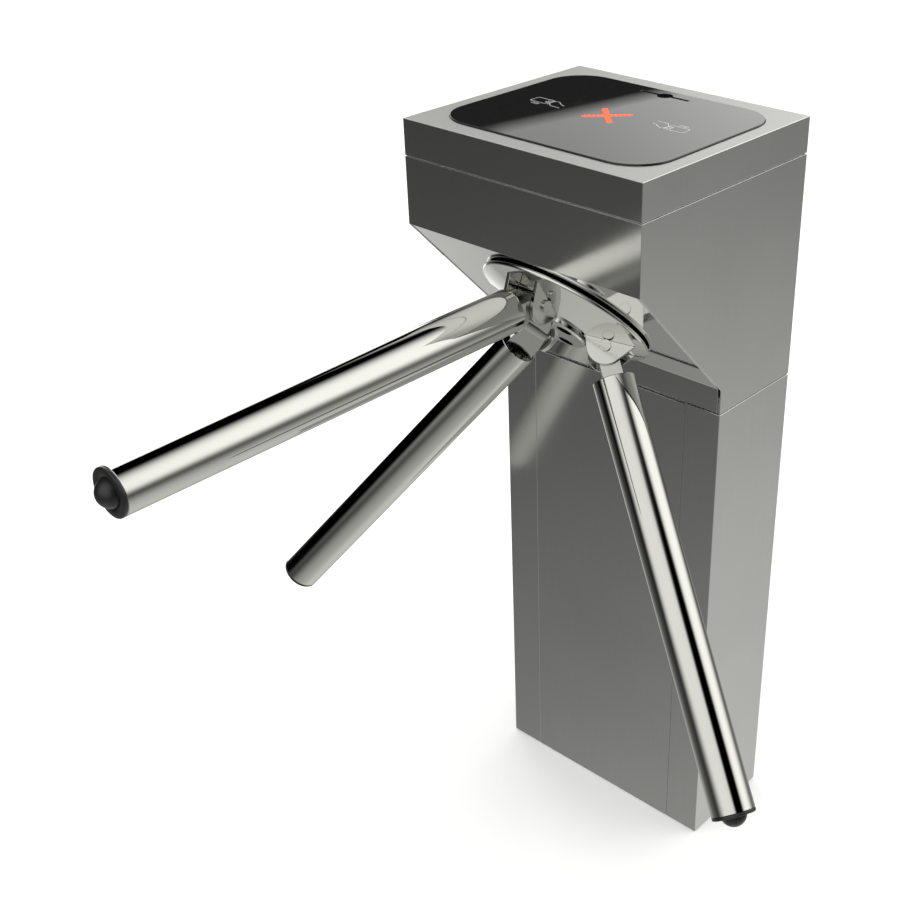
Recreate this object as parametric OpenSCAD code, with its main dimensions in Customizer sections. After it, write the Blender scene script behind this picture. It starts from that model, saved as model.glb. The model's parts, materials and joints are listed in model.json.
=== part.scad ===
// Tripod turnstile: stainless pedestal and head, polished hub on a slanted
// plate, three drop arms, card reader panel with a card return slot.
// Frame: origin on the floor in the middle of the anchor holes, +Z up,
// the arms stand out towards -Y, X runs along the front of the casing.

/* [Casing] */
// Height of the turnstile above the floor
total_h = 1000; // [970:5:1060]
// Width of the head and the pedestal
body_w = 345; // [340:5:420]
// Depth of the head, from its front face to its back
body_d = 311; // [305:1:380]
// Thickness of the casing sheet
sheet_t = 1.5; // [1.2:0.1:2]
// Height of the lid
lid_h = 43; // [38:1:60]
// Open seam between lid, head and pedestal
seam = 1.2; // [0.8:0.1:2]
// Height of the upright front face, lid included
face_h = 126; // [120:1:150]
// How far the slanted plate runs back
slope_back = 162; // [150:1:175]
// How far the slanted plate drops
slope_drop = 169; // [155:1:180]
// Height of the upright strip under the slanted plate
strip_h = 32; // [24:1:45]
// Width of the lift-off panel in the pedestal's front
panel_w = 242; // [200:2:280]
// Gap along both sides of that panel
panel_gap = 0.6; // [0.4:0.1:1.5]

/* [Slanted plate] */
// Thickness of the polished plate
plate_t = 2; // [1.5:0.5:3]
// How far the plate lies below the edges of the side walls
plate_recess = 1; // [0.5:0.5:2]
// Gap between the plate and each side wall
plate_gap = 1.4; // [0.6:0.2:2]
// How far the hub's centre lies below the middle of the plate
hub_drop = 4.4; // [0:0.2:8]

/* [Reader panel] */
// Width of the glass
glass_w = 305; // [240:1:310]
// Depth of the glass
glass_d = 256; // [220:1:262]
// Corner radius of the glass
glass_r = 49.5; // [20:0.5:60]
// Thickness of the glass
glass_t = 7; // [6:0.5:8]
// How far the glass stands above the lid
glass_proud = 1.8; // [0.5:0.1:3]
// Length of the card slot
slot_l = 70; // [60:1:90]
// Width of the card slot
slot_w = 4.6; // [3:0.2:7]
// Radius of the finger notch in the slot
notch_r = 9.6; // [8:0.2:11]
// Distance from the back of the glass to the slot
slot_inset = 19; // [16:1:30]
// Distance from the back of the casing to the glass
glass_back = 28.5; // [24:0.5:40]

/* [Hub] */
// Radius of the hub disc
hub_r = 110; // [100:1:114]
// Thickness of the disc at its rim
rim_t = 5.6; // [4:0.2:8]
// Radius of the raised middle
boss_r = 40; // [39:0.5:41]
// Height of the raised middle above the slanted plate
boss_h = 30; // [28:0.5:31]
// Radius of the circle that the hub screws lie on
screw_circle = 27; // [25:0.5:28]
// Radius of the deep counterbores for the screws
counterbore_r = 9.6; // [8.5:0.2:10]
// Play that the lock leaves the hub at rest, in degrees
rest_turn = 1.9; // [0:0.1:3]

/* [Arms] */
// Outer radius of the arm tube
arm_r = 25.4; // [19:0.2:25.4]
// Wall of the arm tube
arm_wall = 1.5; // [1.2:0.1:2]
// Length of the arm from its hinge pin to the rim of its cap
arm_l = 549.5; // [400:0.5:560]
// Angle between each arm and the hub's axis
arm_angle = 42.8; // [42:0.1:44]
// Distance of the hinge pins from the hub's axis
pin_out = 64; // [63:0.5:65]
// Height of the hinge pins above the slanted plate
pin_h = 23.5; // [23:0.5:25]
// Radius of the hinge pins
pin_r = 6; // [5:0.5:7]
// Thickness of each lug
lug_t = 5; // [4:0.5:6]
// Radius of the round end of a lug
lug_r = 22; // [20:0.5:23]
// Half the gap between the two lugs of a pair
lug_gap = 19; // [18:0.5:20]

/* [Drive and base] */
// Radius of the spindle in its bearings
spindle_r = 15; // [12:0.5:16]
// Outer radius of the bearings
bearing_r = 31; // [30:0.5:32]
// Width of the bearings
bearing_w = 16; // [14:0.5:17]
// Teeth on the spindle gear
gear_teeth = 40; // [40:2:42]
// Teeth on the damper's pinion
pinion_teeth = 20; // [18:2:20]
// Module of the gear teeth
tooth_module = 2; // [1.75:0.25:2]
// Thickness of the base plate
base_t = 16; // [10:1:30]
// Distance between anchor holes across the width
anchor_x = 240; // [200:5:260]
// Distance between anchor holes front to back
anchor_y = 90; // [70:2:100]
// Radius of the anchor holes
anchor_hole_r = 7; // [6:0.5:9]

/* [Hidden] */

$fn = 64;
// Running clearance of a shaft, play of a fitted piece, gap of a seated piece
run = 0.05;
fit = 0.03;
seat = 0.3;
cut = 1;

// Casing
neck_t = 4;
in_x = body_w / 2 - sheet_t;
front_z = total_h - face_h;
lid_z = total_h - lid_h;
head_top_z = lid_z - seam;
slope_low_z = front_z - slope_drop;
head_low_z = slope_low_z - strip_h;
ped_top_z = head_low_z - seam;
slope_angle = atan2(slope_drop, slope_back);
slope_len = norm([slope_back, slope_drop]);
anchor_mid = (slope_back + body_d) / 2;
casing_foot_z = 1;
fold = 14;
fold_low_z = base_t + 6;
fold_top_z = ped_top_z - 26;
frame_low_z = ped_top_z - 24;
frame_top_z = head_low_z + 20;
skirt_t = 2;
skirt_low_z = head_top_z - 16;

// Hub axis: its own frame has +Z out of the slanted plate and +Y up the slope
hub_s = slope_len / 2 + hub_drop;
hub_y = hub_s * cos(slope_angle);
hub_z = front_z - hub_s * sin(slope_angle);
disc_back = 1;
rim_top = disc_back + rim_t;
boss_step = 6.5;
cone_h = boss_h - boss_step;
boss_edge = 2;
tongue_gap = 1.5;
neck_r = 38;
neck_low = -4;
neck_gap = 2;
flange_t = 9;
screw_r = 5;
screw_seat_h = 8;
screw_head_r = 8;
screw_head_h = 10;
socket_r = 4;
socket_h = 6;
shoulder_r = 23;
shoulder_gap = 0.4;

// Arms
tube_start = 36;
cap_rim = 4;
cap_dome_r = 15;
cap_dome_h = 9;
tube_end = arm_l - cap_rim;
plug_r = arm_r - arm_wall - 0.04;
root_step = 12;
root_plug_l = 34;
cap_plug_l = 18;
lug_edge = lug_gap + lug_t;
head_r = 7;
head_t = 3;
foot_out = 32;
tongue_half = lug_gap - 0.4;
tongue_thick = 12;
tongue_r = 13;

// Mechanism, as depths behind the slanted plate's outer surface
plate_thick = 6;
front_plate_d = 30;
rear_plate_d = 110;
mech_half = 88;
rear_half_x = 150;
rear_half_u = 75;
ear_t = 4;
ear_l = 40;
shaft_r = 4;
housing_r = 36;
housing_bore_r = 26;
flange = 6;
bearing_seat = 8;
index_d = 59;
index_t = 9;
index_r = 40;
lock_d = 72;
lock_t = 10;
lock_r = 38;
lock_notch = [18, 19];
gear_d = 86;
gear_t = 8;
gear_r = tooth_module * gear_teeth / 2;
pinion_r = tooth_module * pinion_teeth / 2;
encoder_d = 128;
encoder_t = 2;
spindle_end_d = 140;
pawl_x = 58;
pawl_u = 30;
pivot_r = 5;
tail_u = 60;
tail_pin_r = 2.5;
coil = [52, 36];
coil_x = 74;
rod_d = 64;
rod_r = 4.5;
rod_l = 45;

// Reader panel
glass_mid = body_d - glass_back - glass_d / 2;
glass_top = total_h + glass_proud;
glass_low = glass_top - glass_t;
slot_y = body_d - glass_back - slot_inset;
cross_l = 44;
cross_w = 7;
cross_gap = 0.1;
lid_gap = 0.5;
board_t = 1.6;
chute_x = slot_l / 2 + 2.5;
chute_y = notch_r + 2.5;
chute_wall = 1.5;
chute_low_z = total_h - 220;
flap_z = total_h - 95;

// ---- Frames -------------------------------------------------------------

// Casing coordinates: y = 0 on the head's front face
module casing_frame() {
    translate([0, -anchor_mid, 0]) children();
}

module hub_frame() {
    casing_frame() translate([0, hub_y, hub_z]) rotate([180 - slope_angle, 0, 0]) children();
}

// Turns with the hub: +X along the first arm's foot
module on_hub() {
    hub_frame() rotate([0, 0, 90 + rest_turn]) children();
}

module at_arm(i) {
    on_hub() rotate([0, 0, 120 * (i - 1)]) children();
}

// +Z along the arm, from its hinge pin
module arm_frame(i) {
    at_arm(i) translate([pin_out, 0, pin_h]) rotate([0, arm_angle, 0]) children();
}

// ---- Shared shapes ------------------------------------------------------

// Box between two corners
module span(low, high) {
    translate(low) cube(high - low);
}

// Upright sheet with its outline in the YZ plane, from x = x0 to x1
module side_sheet(x0, x1) {
    translate([x0, 0, 0]) rotate([90, 0, 90]) linear_extrude(x1 - x0) children();
}

module rounded_rect(w, d, r) {
    square([w - 2 * r, d], center = true);
    square([w, d - 2 * r], center = true);
    for (x = [-1, 1], y = [-1, 1])
        translate([x * (w / 2 - r), y * (d / 2 - r)]) circle(r);
}

// Height of the slanted line that lies r inside the outer one, at depth y
function slope_z(r, y) = front_z + r / cos(slope_angle) - y * tan(slope_angle);

// Involute gear outline, with a little backlash
function inv_deg(a) = tan(a) * 180 / PI - a;
function flank_deg(pitch, base, rho, half) =
    half + inv_deg(20) - inv_deg(acos(min(1, base / rho)));
function tooth_points(z, m) =
    let (pitch = m * z / 2, base = pitch * cos(20), tip = pitch + m * 0.95,
         foot = pitch - 1.25 * m, half = 90 / z - 0.45,
         rhos = [max(base, foot + 0.2), pitch, tip])
    [for (k = [0 : z - 1])
        let (mid = 360 * k / z)
        each concat(
            [[foot * cos(mid - 180 / z + 1.2), foot * sin(mid - 180 / z + 1.2)]],
            [for (rho = rhos) let (a = mid - flank_deg(pitch, base, rho, half))
                [rho * cos(a), rho * sin(a)]],
            [for (j = [2, 1, 0]) let (a = mid + flank_deg(pitch, base, rhos[j], half))
                [rhos[j] * cos(a), rhos[j] * sin(a)]],
            [[foot * cos(mid + 180 / z - 1.2), foot * sin(mid + 180 / z - 1.2)]])];

// ---- Lid and reader panel ----------------------------------------------

module glass_outline(grow) {
    translate([0, glass_mid])
        rounded_rect(glass_w + 2 * grow, glass_d + 2 * grow, glass_r + grow);
}

module lid_cover() {
    color("lightgray") casing_frame() difference() {
        span([-body_w / 2, 0, lid_z], [body_w / 2, body_d, total_h]);
        span([-in_x, sheet_t, lid_z - cut], [in_x, body_d - sheet_t, total_h - sheet_t]);
        translate([0, 0, total_h - sheet_t - cut])
            linear_extrude(sheet_t + 2 * cut) glass_outline(lid_gap);
    }
}

module slot_outline(grow) {
    translate([0, slot_y]) square([slot_l + 2 * grow, slot_w + 2 * grow], center = true);
    translate([0, slot_y]) circle(notch_r + grow);
}

module cross_outline(grow) {
    translate([0, glass_mid]) for (a = [45, -45])
        rotate(a) square([cross_l * 1.25 + 2 * grow, cross_w + 2 * grow], center = true);
}

module reader_glass() {
    color("dimgray") casing_frame() difference() {
        translate([0, 0, glass_low]) linear_extrude(glass_t) glass_outline(0);
        translate([0, 0, glass_low - cut]) linear_extrude(glass_t + 2 * cut) slot_outline(0);
        translate([0, 0, glass_low - cut]) linear_extrude(glass_t + 2 * cut) cross_outline(cross_gap);
    }
}

gasket_t = 1.8;
gasket_w = 9;
tray_lip = 12;
module glass_gasket() {
    color("black") casing_frame() difference() {
        translate([0, 0, glass_low - gasket_t]) linear_extrude(gasket_t) difference() {
            glass_outline(0);
            glass_outline(-gasket_w);
        }
        chute_form(seat);
    }
}

// Tray under the glass, with the skirt that centres the lid on the head
tray_z = glass_low - gasket_t;
module lid_tray() {
    color("silver") casing_frame() difference() {
        span([-in_x + seat, sheet_t + seat, skirt_low_z], [in_x - seat, body_d - sheet_t - seat, tray_z]);
        span([-in_x + seat + skirt_t, sheet_t + seat + skirt_t, skirt_low_z - cut],
            [in_x - seat - skirt_t, body_d - sheet_t - seat - skirt_t, tray_z - skirt_t]);
        translate([0, 0, tray_z - skirt_t - cut]) linear_extrude(skirt_t + 2 * cut) glass_outline(-tray_lip);
        chute_form(seat);
    }
}

module cross_light() {
    color("red") casing_frame()
        translate([0, 0, glass_low]) linear_extrude(glass_t) cross_outline(0);
}

// Block centred in x and y, with its top at z = 0
module hung_block(w, d, t) {
    translate([-w / 2, -d / 2, -t]) cube([w, d, t]);
}

// Lamp block on its board
lamp_w = 70;
lamp_t = 6.9;
display_w = 84;
module display_board() {
    color("darkgreen") casing_frame() translate([0, glass_mid, glass_low - seat]) {
        hung_block(lamp_w, lamp_w, lamp_t);
        translate([0, 0, -lamp_t]) hung_block(display_w, display_w, board_t);
    }
}

// Aerial board with its shielded circuit under it
reader_x = 92;
aerial = [76, 104];
shield = [30, 24, 5];
module reader_board(side) {
    color("darkgreen") casing_frame() translate([side * reader_x, glass_mid, glass_low - seat]) {
        hung_block(aerial[0], aerial[1], board_t);
        translate([0, 0, -board_t]) hung_block(shield[0], shield[1], shield[2]);
    }
}
module entry_reader_board() { reader_board(-1); }
module exit_reader_board() { reader_board(1); }

// ---- Card return --------------------------------------------------------

flap_pin_r = 2;
flap_t = 1.6;
flap_gap = 0.6;
servo = [22, 24, 24];
servo_low = -16;
servo_bore = 12;
module chute_form(grow) {
    span([-chute_x - chute_wall - grow, slot_y - chute_y - chute_wall - grow, chute_low_z],
        [chute_x + chute_wall + grow, slot_y + chute_y + chute_wall + grow, glass_low - seat + grow]);
}

module card_chute() {
    color("silver") casing_frame() difference() {
        chute_form(0);
        translate([0, slot_y, (chute_low_z + glass_low) / 2])
            cube([2 * chute_x, 2 * chute_y, glass_low - chute_low_z + 4], center = true);
        translate([0, slot_y, flap_z]) rotate([0, 90, 0])
            cylinder(r = flap_pin_r + run, h = 2 * chute_x + 10, center = true);
    }
}

module card_flap() {
    color("orange") casing_frame() translate([0, slot_y, flap_z]) {
        rotate([0, 90, 0]) translate([0, 0, -chute_x - 2 * chute_wall])
            cylinder(r = flap_pin_r, h = 2 * chute_x + 6 * chute_wall);
        span([-chute_x + 1, -chute_y + flap_gap, -flap_t / 2], [chute_x - 1, chute_y - flap_gap, flap_t / 2]);
    }
}

module flap_servo() {
    color("dimgray") casing_frame() translate([chute_x + chute_wall + seat, slot_y, flap_z]) difference() {
        translate([0, -servo[1] / 2, servo_low]) cube(servo);
        rotate([0, 90, 0]) translate([0, 0, -cut]) cylinder(r = flap_pin_r + run, h = servo_bore + cut);
    }
}

bin_front = slot_y - chute_y - 14;
bin_back = body_d - sheet_t - 2 * seat - neck_t;
bin_low_z = total_h - 410;
bin_top_z = total_h - 240;
bin_half = 52;
bin_wall = 1.5;
module card_bin() {
    color("gray") casing_frame() difference() {
        span([-bin_half, bin_front, bin_low_z], [bin_half, bin_back, bin_top_z]);
        span([-bin_half + bin_wall, bin_front + bin_wall, bin_low_z + bin_wall],
            [bin_half - bin_wall, bin_back - bin_wall, bin_top_z + cut]);
    }
}

// ---- Head ---------------------------------------------------------------

module head_profile() {
    polygon([[0, head_top_z], [0, front_z], [slope_back, slope_low_z], [slope_back, head_low_z],
        [body_d, head_low_z], [body_d, head_top_z]]);
}

module head_casing() {
    color("lightgray") casing_frame() {
        side_sheet(-body_w / 2, -in_x) head_profile();
        side_sheet(in_x, body_w / 2) head_profile();
        span([-body_w / 2, 0, front_z], [body_w / 2, sheet_t, head_top_z]);
        span([-body_w / 2, body_d - sheet_t, head_low_z], [body_w / 2, body_d, head_top_z]);
    }
}

module slope_plate() {
    y0 = sheet_t + seat;
    y1 = slope_back + plate_recess;
    y2 = y1 + plate_t;
    r1 = plate_recess;
    r2 = plate_recess + plate_t;
    x = in_x - plate_gap;
    color("white") difference() {
        casing_frame() side_sheet(-x, x)
            polygon([[y0, slope_z(r1, y0)], [y1, slope_z(r1, y1)], [y1, head_low_z], [y2, head_low_z],
                [y2, slope_z(r2, y2)], [y0, slope_z(r2, y0)]]);
        hub_frame() cylinder(r = neck_r + neck_gap, h = 40, center = true);
    }
}

// Ring that joins the head to the pedestal from inside
module neck_frame() {
    y0 = slope_back + plate_recess + plate_t + seat;
    color("dimgray") casing_frame() difference() {
        span([-in_x + seat, y0, frame_low_z], [in_x - seat, body_d - sheet_t - seat, frame_top_z]);
        span([-in_x + seat + neck_t, y0 + neck_t, frame_low_z - cut],
            [in_x - seat - neck_t, body_d - sheet_t - seat - neck_t, frame_top_z + cut]);
    }
}

// ---- Pedestal -----------------------------------------------------------

module pedestal_casing() {
    side = panel_w / 2;
    color("lightgray") casing_frame() {
        for (s = [-1, 1]) {
            x0 = s > 0 ? in_x : -body_w / 2;
            span([x0, slope_back, casing_foot_z], [x0 + sheet_t, body_d, ped_top_z]);
            x1 = s > 0 ? side : -body_w / 2;
            span([x1, slope_back, casing_foot_z], [x1 + body_w / 2 - side, slope_back + sheet_t, ped_top_z]);
            x2 = s > 0 ? side : -side - sheet_t;
            span([x2, slope_back, fold_low_z], [x2 + sheet_t, slope_back + fold, fold_top_z]);
        }
        span([-body_w / 2, body_d - sheet_t, casing_foot_z], [body_w / 2, body_d, ped_top_z]);
    }
}

module front_panel() {
    x = panel_w / 2 - panel_gap;
    color("lightgray") casing_frame() {
        span([-x, slope_back, casing_foot_z], [x, slope_back + sheet_t, ped_top_z]);
        for (s = [-1, 1]) {
            x0 = s > 0 ? x - sheet_t : -x;
            span([x0, slope_back, fold_low_z], [x0 + sheet_t, slope_back + fold, fold_top_z]);
        }
    }
}

base_low = slope_back + sheet_t + seat;
base_back = body_d - sheet_t - seat;
cable_hole_r = 26;
grommet_r = 20;
grommet_lip = 5;
grommet_t = 3;
module base_plate() {
    color("dimgray") casing_frame() difference() {
        span([-in_x + seat, base_low, 0], [in_x - seat, base_back, base_t]);
        for (x = [-1, 1], y = [-1, 1])
            translate([x * anchor_x / 2, anchor_mid + y * anchor_y / 2, -cut])
                cylinder(r = anchor_hole_r, h = base_t + 2 * cut);
        translate([0, anchor_mid, -cut]) cylinder(r = cable_hole_r, h = base_t + 2 * cut);
    }
}

module cable_grommet() {
    color("black") casing_frame() translate([0, anchor_mid, 0]) rotate_extrude()
        polygon([[grommet_r, casing_foot_z], [cable_hole_r - run, casing_foot_z],
            [cable_hole_r - run, base_t], [cable_hole_r + grommet_lip, base_t],
            [cable_hole_r + grommet_lip, base_t + grommet_t], [grommet_r, base_t + grommet_t]]);
}

supply = [115, 61, 238];
supply_x = 40;
module power_supply() {
    color("silver") casing_frame()
        translate([supply_x, base_back - supply[1], base_t]) cube(supply);
}

// Board on four posts from the back wall, with its relays and its terminals
control = [180, 170];
control_z = 330;
post_l = 14.4;
post_inset = 8;
relays = [50, 18, 40];
terminals = [60, 14, 50];
module control_board() {
    half = control[0] / 2;
    face = base_back - post_l - board_t;
    color("darkgreen") casing_frame() {
        span([-half, face, control_z], [half, face + board_t, control_z + control[1]]);
        translate([-70, face - relays[1], control_z + 20]) cube(relays);
        translate([10, face - terminals[1], control_z + 90]) cube(terminals);
        for (x = [post_inset - half, half - post_inset],
                z = [control_z + post_inset, control_z + control[1] - post_inset])
            translate([x, base_back, z]) rotate([90, 0, 0]) cylinder(r = 4, h = post_l);
    }
}

// ---- Mechanism frame ----------------------------------------------------

// Ring or disc at a depth behind the plate, seen along the hub's axis
module disc_at(d, t, r) {
    translate([0, 0, -d - t]) cylinder(r = r, h = t);
}

module front_mech_plate() {
    x = in_x - seat;
    color("silver") hub_frame() {
        difference() {
            span([-x, -mech_half, -front_plate_d - plate_thick], [x, mech_half, -front_plate_d]);
            disc_at(front_plate_d - cut, plate_thick + 2 * cut, housing_r + run);
        }
        for (s = [-1, 1]) {
            x0 = s > 0 ? x - ear_t : -x;
            span([x0, -mech_half, -front_plate_d - ear_l],
                [x0 + ear_t, mech_half, -front_plate_d - plate_thick]);
        }
    }
}

module rear_mech_plate() {
    color("silver") hub_frame() difference() {
        span([-rear_half_x, -rear_half_u, -rear_plate_d - plate_thick],
            [rear_half_x, rear_half_u, -rear_plate_d]);
        disc_at(rear_plate_d - cut, plate_thick + 2 * cut, housing_r + run);
        translate([0, -gear_r - pinion_r, 0])
            disc_at(rear_plate_d - cut, plate_thick + 2 * cut, shaft_r + 2);
    }
}

post_x = rear_half_x - 12;
post_u = rear_half_u - 9;
post_r = 8;
module plate_posts() {
    low = plate_recess + plate_t + seat;
    color("silver") hub_frame() for (x = [-1, 1], u = [-1, 1]) translate([x * post_x, u * post_u, 0]) {
        disc_at(front_plate_d + plate_thick, rear_plate_d - front_plate_d - plate_thick, post_r);
        disc_at(low, front_plate_d - low, post_r);
    }
}

module front_housing() {
    color("dimgray") hub_frame() difference() {
        union() {
            disc_at(front_plate_d - flange, flange, 50);
            disc_at(front_plate_d, 26, housing_r);
        }
        disc_at(front_plate_d + bearing_seat, 30, bearing_r + fit);
        disc_at(front_plate_d - 10, 40, housing_bore_r);
    }
}

module rear_housing() {
    d0 = rear_plate_d + plate_thick;
    color("dimgray") hub_frame() difference() {
        union() {
            disc_at(d0, flange, 42);
            disc_at(d0 - bearing_w - 2, bearing_w + 2, housing_r);
        }
        disc_at(d0 - 20, 20, bearing_r + fit);
        disc_at(d0 - 20, 40, housing_bore_r);
    }
}

module bearing_at(d) {
    color("gainsboro") hub_frame() difference() {
        disc_at(d, bearing_w, bearing_r);
        disc_at(d - cut, bearing_w + 2 * cut, spindle_r + fit);
    }
}
module front_bearing() { bearing_at(front_plate_d + bearing_seat); }
module rear_bearing() { bearing_at(rear_plate_d + plate_thick - bearing_w); }

// ---- Indexing and locking ----------------------------------------------

// Leaf spring whose round nose lies in one of the index wheel's three dips
index_nose_u = index_r + 3;
dip_r = 8;
nose_r = 7.6;
nose_cut = 3;
leaf_t = 1.5;
leaf_u = index_nose_u + nose_cut;
leaf_x = 48;
block_w = 12;
block_h = 7.5;
module index_block() {
    color("silver") hub_frame()
        span([leaf_x - block_w, leaf_u + leaf_t, -index_d - index_t],
            [leaf_x, leaf_u + leaf_t + block_h, -front_plate_d - plate_thick]);
}

module index_spring() {
    color("lightsteelblue") hub_frame() {
        span([-12, leaf_u, -index_d - index_t + 1], [leaf_x, leaf_u + leaf_t, -index_d - 1]);
        translate([0, index_nose_u, 0]) difference() {
            disc_at(index_d + 1, index_t - 2, nose_r);
            span([-9, nose_cut, -index_d - index_t], [9, 9, -index_d]);
        }
    }
}

module pawl_pivots() {
    color("gainsboro") hub_frame() for (s = [-1, 1]) translate([s * pawl_x, pawl_u, 0])
        disc_at(front_plate_d + plate_thick, rear_plate_d - front_plate_d - plate_thick, pivot_r);
}

module solenoid(s) {
    color("saddlebrown") hub_frame() difference() {
        span([s > 0 ? coil_x : -coil_x - coil[0], tail_u - coil[1] / 2, -rod_d - 20],
            [s > 0 ? coil_x + coil[0] : -coil_x, tail_u + coil[1] / 2, -front_plate_d - plate_thick - seat]);
        translate([s * (coil_x - 12), tail_u, -rod_d]) rotate([0, s * 90, 0])
            cylinder(r = rod_r + 2 * run, h = rod_l);
    }
}
module entry_solenoid() { solenoid(-1); }
module exit_solenoid() { solenoid(1); }

// Lever with a nose that drops into the lock wheel, and a slot for the rod's pin
module pawl(s) {
    t = lock_t - 1;
    nose = lock_r + 2;
    eye_r = pivot_r + 4;
    color("goldenrod") hub_frame() difference() {
        translate([0, 0, -lock_d - lock_t + 0.5]) {
            translate([s * pawl_x, pawl_u, 0]) cylinder(r = eye_r, h = t);
            linear_extrude(t)
                polygon([[s * (pawl_x + eye_r - 0.5), pawl_u], [s * (pawl_x - eye_r + 0.5), pawl_u],
                    [s * (nose + 6), 5], [s * nose, 4], [s * nose, -4], [s * (nose + 9), -4]]);
            span([s * pawl_x - 6, pawl_u, 0], [s * pawl_x + 6, tail_u + 8, t]);
        }
        span([s * pawl_x - 3, tail_u - 5.5, -lock_d - lock_t], [s * pawl_x + 3, tail_u + 5.5, -lock_d]);
        translate([s * pawl_x, pawl_u, 0]) disc_at(lock_d - cut, lock_t + 2 * cut, pivot_r + run);
    }
}
module entry_pawl() { pawl(-1); }
module exit_pawl() { pawl(1); }

module plunger(s) {
    color("gainsboro") hub_frame() {
        translate([s * (pawl_x - 5), tail_u, -rod_d]) rotate([0, s * 90, 0]) cylinder(r = rod_r, h = rod_l);
        translate([s * pawl_x, tail_u, 0]) disc_at(rod_d, lock_d + lock_t + 1 - rod_d, tail_pin_r);
    }
}
module entry_plunger() { plunger(-1); }
module exit_plunger() { plunger(1); }

can_r = 16;
can_t = 26;
can_bore = 11;
module damper() {
    color("dimgray") hub_frame() translate([0, -gear_r - pinion_r, 0]) difference() {
        disc_at(rear_plate_d + plate_thick, can_t, can_r);
        disc_at(rear_plate_d + plate_thick - cut, can_bore + cut, shaft_r + run);
    }
}

module damper_pinion() {
    color("goldenrod") hub_frame() translate([0, -gear_r - pinion_r, 0]) {
        translate([0, 0, -gear_d - gear_t]) rotate(90 + 180 / pinion_teeth)
            linear_extrude(gear_t) polygon(tooth_points(pinion_teeth, tooth_module));
        disc_at(gear_d + gear_t, rear_plate_d + plate_thick + can_bore - 2 - gear_d - gear_t, shaft_r);
    }
}

// Board on two posts, with a forked light gate round the disc's edge
encoder_r = 40;
fork_w = 20;
fork_gap = 1.5;
module encoder_sensor() {
    u0 = housing_r + 10;
    back = rear_plate_d + plate_thick;
    board_d = encoder_d - 7.5;
    color("darkgreen") hub_frame() {
        span([-20, u0, -board_d - board_t], [20, u0 + 20, -board_d]);
        for (x = [-14, 14]) translate([x, u0 + 14, 0]) disc_at(back, board_d - back, 3);
        difference() {
            span([-fork_w / 2, encoder_r - 7, -encoder_d - 8], [fork_w / 2, u0 + 12, -board_d - board_t]);
            span([-fork_w / 2 - cut, encoder_r - 8, -encoder_d - encoder_t - fork_gap],
                [fork_w / 2 + cut, encoder_r + 3, -encoder_d + fork_gap]);
        }
    }
}

// ---- Hub ----------------------------------------------------------------

// Outer form of the hub: rounded rim, low cone, raised middle
module hub_form() {
    rim = rim_t / 2;
    rotate_extrude($fn = 96) {
        polygon([[0, disc_back], [hub_r - rim, disc_back], [hub_r - rim, rim_top],
            [boss_r, cone_h], [0, cone_h]]);
        translate([hub_r - rim, disc_back + rim]) circle(rim);
        polygon([[0, neck_low], [neck_r, neck_low], [neck_r, disc_back + 0.5], [0, disc_back + 0.5]]);
        polygon([[0, cone_h - 1], [boss_r, cone_h - 1], [boss_r, boss_h - boss_edge],
            [boss_r - boss_edge, boss_h], [0, boss_h]]);
    }
}

module hub_disc() {
    color("white") on_hub() difference() {
        hub_form();
        for (i = [0 : 2]) rotate([0, 0, 120 * i]) {
            translate([pin_out, 0, pin_h]) rotate([90, 0, 0])
                cylinder(r = tongue_r + tongue_gap, h = 2 * lug_gap - 0.2, center = true);
            rotate([0, 0, 60]) translate([screw_circle, 0, 0]) {
                translate([0, 0, screw_seat_h]) cylinder(r = counterbore_r, h = boss_h);
                translate([0, 0, neck_low - cut]) cylinder(r = screw_r + run, h = boss_h);
            }
        }
    }
}

module hub_screws() {
    color("black") on_hub() for (i = [0 : 2]) rotate([0, 0, 120 * i + 60])
        translate([screw_circle, 0, 0]) difference() {
            union() {
                translate([0, 0, neck_low - flange_t])
                    cylinder(r = screw_r, h = screw_seat_h + flange_t - neck_low);
                translate([0, 0, screw_seat_h]) cylinder(r = screw_head_r, h = screw_head_h);
            }
            translate([0, 0, screw_seat_h + screw_head_h - socket_h])
                cylinder(r = socket_r, h = screw_head_h, $fn = 6);
        }
}

module spindle() {
    color("gainsboro") on_hub() difference() {
        union() {
            disc_at(-neck_low, flange_t, neck_r);
            disc_at(flange_t - neck_low, front_plate_d + bearing_seat - shoulder_gap - flange_t + neck_low,
                shoulder_r);
            disc_at(-neck_low, spindle_end_d + neck_low, spindle_r);
        }
        for (i = [0 : 2]) rotate([0, 0, 120 * i + 60]) translate([screw_circle, 0, 0])
            disc_at(0, 40, screw_r + run);
    }
}

// Bored wheel on the spindle
module wheel(d, t) {
    translate([0, 0, -d - t]) linear_extrude(t) difference() {
        children();
        circle(spindle_r + run);
    }
}

module index_wheel() {
    color("goldenrod") hub_frame() wheel(index_d, index_t) difference() {
        circle(index_r);
        for (i = [0 : 2]) rotate(120 * i) translate([0, index_nose_u]) circle(dip_r);
    }
}

module lock_wheel() {
    color("gainsboro") hub_frame() wheel(lock_d, lock_t) difference() {
        circle(lock_r);
        for (i = [0 : 5]) rotate(60 * i) translate([lock_r, 0]) square(lock_notch, center = true);
    }
}

module spindle_gear() {
    color("goldenrod") hub_frame() wheel(gear_d, gear_t) rotate(-90)
        polygon(tooth_points(gear_teeth, tooth_module));
}

module encoder_disc() {
    color("black") hub_frame() wheel(encoder_d, encoder_t) difference() {
        circle(encoder_r);
        for (i = [0 : 23]) rotate(15 * i) translate([encoder_r - 4, 0]) square([5, 3], center = true);
    }
}

// ---- Lugs, pins and arms ------------------------------------------------

// Point where the line from p touches the circle round c, on the given side
function touch(p, c, r, side) =
    let (v = p - c, d = norm(v), a = atan2(v[1], v[0]) + side * acos(r / d))
    c + r * [cos(a), sin(a)];

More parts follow.
